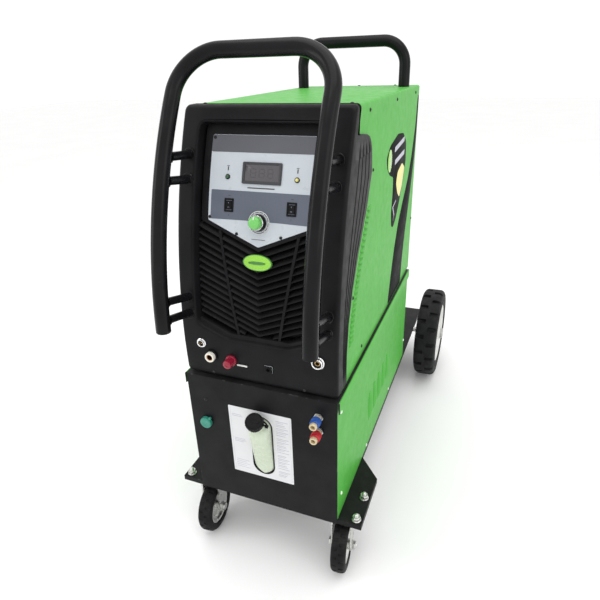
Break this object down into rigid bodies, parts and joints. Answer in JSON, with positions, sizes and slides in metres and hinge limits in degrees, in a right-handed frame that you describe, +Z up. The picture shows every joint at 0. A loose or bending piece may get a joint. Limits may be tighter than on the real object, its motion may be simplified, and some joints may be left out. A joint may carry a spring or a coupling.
{
  "type": "wheeled water-cooled plasma cutter",
  "caption": "Plasma cutting power source on a wheeled coolant cabinet, with tube handles, a curved black front, swivel front castors and large rear wheels.",
  "frame": {"origin": "bottom centre of the unit's bounding box, on the floor", "axes": "+X to the right as seen facing the control panel, +Y from the control panel towards the rear, +Z up"},
  "size_m": [0.548, 1.1805, 1.12],
  "materials": {
    "black_paint": "satin powder coat",
    "zinc": "zinc plated",
    "tyre": "matt solid rubber",
    "rim_paint": "light grey gloss paint",
    "castor_rubber": "matt rubber",
    "green_paint": "satin powder coat",
    "clear_plastic": "translucent moulded plastic",
    "black_plastic": "fine-textured moulding",
    "tank_plastic": "natural blow moulding",
    "motor_paint": "grey paint",
    "aluminium": "mill finish",
    "brass": "machined",
    "blue_plastic": "moulded",
    "red_plastic": "moulded",
    "teal_plastic": "moulded",
    "galvanised": "galvanised sheet",
    "panel_face": "printed film on sheet",
    "display_glass": "dark filter window",
    "lamp_plastic": "coloured lens",
    "green_plastic": "moulded",
    "badge_plastic": "domed plaque",
    "chrome": "polished",
    "black_tube": "gloss powder coat",
    "black_screw": "blackened steel",
    "core_steel": "varnished laminations",
    "board": "circuit board"
  },
  "bodies": {
    "frame": {"base_tray": "black_paint", "rear_platform": "black_paint", "rear_axle": "zinc", "chassis_fasteners": "zinc", "castor_plates": "black_paint", "lower_side_left": "green_paint", "lower_side_right": "green_paint", "upper_side_left": "green_paint", "upper_side_right": "green_paint", "lower_front_panel": "black_paint", "lower_rear_panel": "black_paint", "lower_lid": "black_paint", "coolant_bottle": "clear_plastic", "coolant_tank": "tank_plastic", "coolant_pump": "motor_paint", "radiator": "aluminium", "fan_motors": "motor_paint", "coupling_nipples": "brass", "upper_base": "galvanised", "top_cover": "green_paint", "upper_rear_panel": "black_paint", "front_bezel": "black_plastic", "control_panel": "panel_face", "display_window": "display_glass", "indicator_lamps": "lamp_plastic", "badge": "badge_plastic", "front_sockets": "chrome", "torch_socket": "brass", "red_terminal": "red_plastic", "front_handle": "black_tube", "handle_standoffs": "black_tube", "handle_end_caps": "black_plastic", "rear_handle": "black_tube", "case_screws": "black_screw", "power_transformer": "core_steel", "heatsink": "aluminium", "control_board": "board", "cable_gland": "black_plastic", "air_inlet": "brass", "breaker": "black_plastic"},
    "castor_swivel_body_left": {"castor_fork_left": "zinc"},
    "castor_swivel_body_right": {"castor_fork_right": "zinc"},
    "castor_wheel_body_left": {"castor_wheel_left": "zinc", "castor_tyre_left": "castor_rubber"},
    "castor_wheel_body_right": {"castor_wheel_right": "zinc", "castor_tyre_right": "castor_rubber"},
    "rear_wheel_body_left": {"rear_rim_left": "rim_paint", "rear_tyre_left": "tyre"},
    "rear_wheel_body_right": {"rear_rim_right": "rim_paint", "rear_tyre_right": "tyre"},
    "knob_body": {"current_knob": "green_plastic"},
    "rocker_body_left": {"rocker_left": "black_plastic"},
    "rocker_body_right": {"rocker_right": "black_plastic"},
    "cap_body": {"filler_cap": "black_plastic"},
    "sleeve_body_blue": {"coupling_sleeve_blue": "blue_plastic"},
    "sleeve_body_red": {"coupling_sleeve_red": "red_plastic"},
    "drain_body": {"drain_knob": "teal_plastic"},
    "main_fan_body": {"main_fan": "black_plastic"},
    "cooler_fan_body": {"cooler_fan": "black_plastic"},
    "breaker_body": {"breaker_lever": "black_plastic"}
  },
  "joints": [
    {"name": "castor_swivel_left", "type": "hinge", "parent": "frame", "child": "castor_swivel_body_left", "pos_m": [-0.1675, -0.44984, 0.146], "axis": [0, 0, 1], "continuous": true},
    {"name": "castor_roll_left", "type": "hinge", "parent": "castor_swivel_body_left", "child": "castor_wheel_body_left", "pos_m": [-0.16652, -0.4638, 0.0625], "axis": [0.9976, 0.0698, 0], "continuous": true},
    {"name": "rear_wheel_roll_left", "type": "hinge", "parent": "frame", "child": "rear_wheel_body_left", "pos_m": [-0.2275, 0.43516, 0.155], "axis": [1, 0, 0], "continuous": true},
    {"name": "rocker_tip_left", "type": "hinge", "parent": "frame", "child": "rocker_body_left", "pos_m": [-0.063, -0.42979, 0.82788], "axis": [1, 0, 0], "range_deg": [-9, 9]},
    {"name": "castor_swivel_right", "type": "hinge", "parent": "frame", "child": "castor_swivel_body_right", "pos_m": [0.1675, -0.44984, 0.146], "axis": [0, 0, 1], "continuous": true},
    {"name": "castor_roll_right", "type": "hinge", "parent": "castor_swivel_body_right", "child": "castor_wheel_body_right", "pos_m": [0.16896, -0.46376, 0.0625], "axis": [0.9945, 0.1045, 0], "continuous": true},
    {"name": "rear_wheel_roll_right", "type": "hinge", "parent": "frame", "child": "rear_wheel_body_right", "pos_m": [0.2275, 0.43516, 0.155], "axis": [1, 0, 0], "continuous": true},
    {"name": "rocker_tip_right", "type": "hinge", "parent": "frame", "child": "rocker_body_right", "pos_m": [0.063, -0.42979, 0.82788], "axis": [1, 0, 0], "range_deg": [-9, 9]},
    {"name": "current_knob_turn", "type": "hinge", "parent": "frame", "child": "knob_body", "pos_m": [0, -0.44109, 0.802], "axis": [0, -0.9674, 0.2534], "range_deg": [-140, 140]},
    {"name": "filler_cap_unscrew", "type": "hinge", "parent": "frame", "child": "cap_body", "pos_m": [-0.002, -0.51534, 0.398], "axis": [0, -0.5736, 0.8192], "range_deg": [0, 360]},
    {"name": "drain_knob_turn", "type": "hinge", "parent": "frame", "child": "drain_body", "pos_m": [-0.131, -0.50084, 0.358], "axis": [0, -1, 0], "range_deg": [0, 90]},
    {"name": "coupling_release_blue", "type": "slide", "parent": "frame", "child": "sleeve_body_blue", "axis": [0, 1, 0], "range_m": [0, 0.005], "stiffness_N_per_m": 900},
    {"name": "coupling_release_red", "type": "slide", "parent": "frame", "child": "sleeve_body_red", "axis": [0, 1, 0], "range_m": [0, 0.005], "stiffness_N_per_m": 900},
    {"name": "main_fan_spin", "type": "hinge", "parent": "frame", "child": "main_fan_body", "pos_m": [0, 0.20416, 0.72], "axis": [0, 1, 0], "continuous": true},
    {"name": "cooler_fan_spin", "type": "hinge", "parent": "frame", "child": "cooler_fan_body", "pos_m": [0, -0.01584, 0.305], "axis": [0, 1, 0], "continuous": true},
    {"name": "breaker_throw", "type": "hinge", "parent": "frame", "child": "breaker_body", "pos_m": [0.1, 0.23716, 0.56], "axis": [1, 0, 0], "range_deg": [-36, 0]}
  ]
}
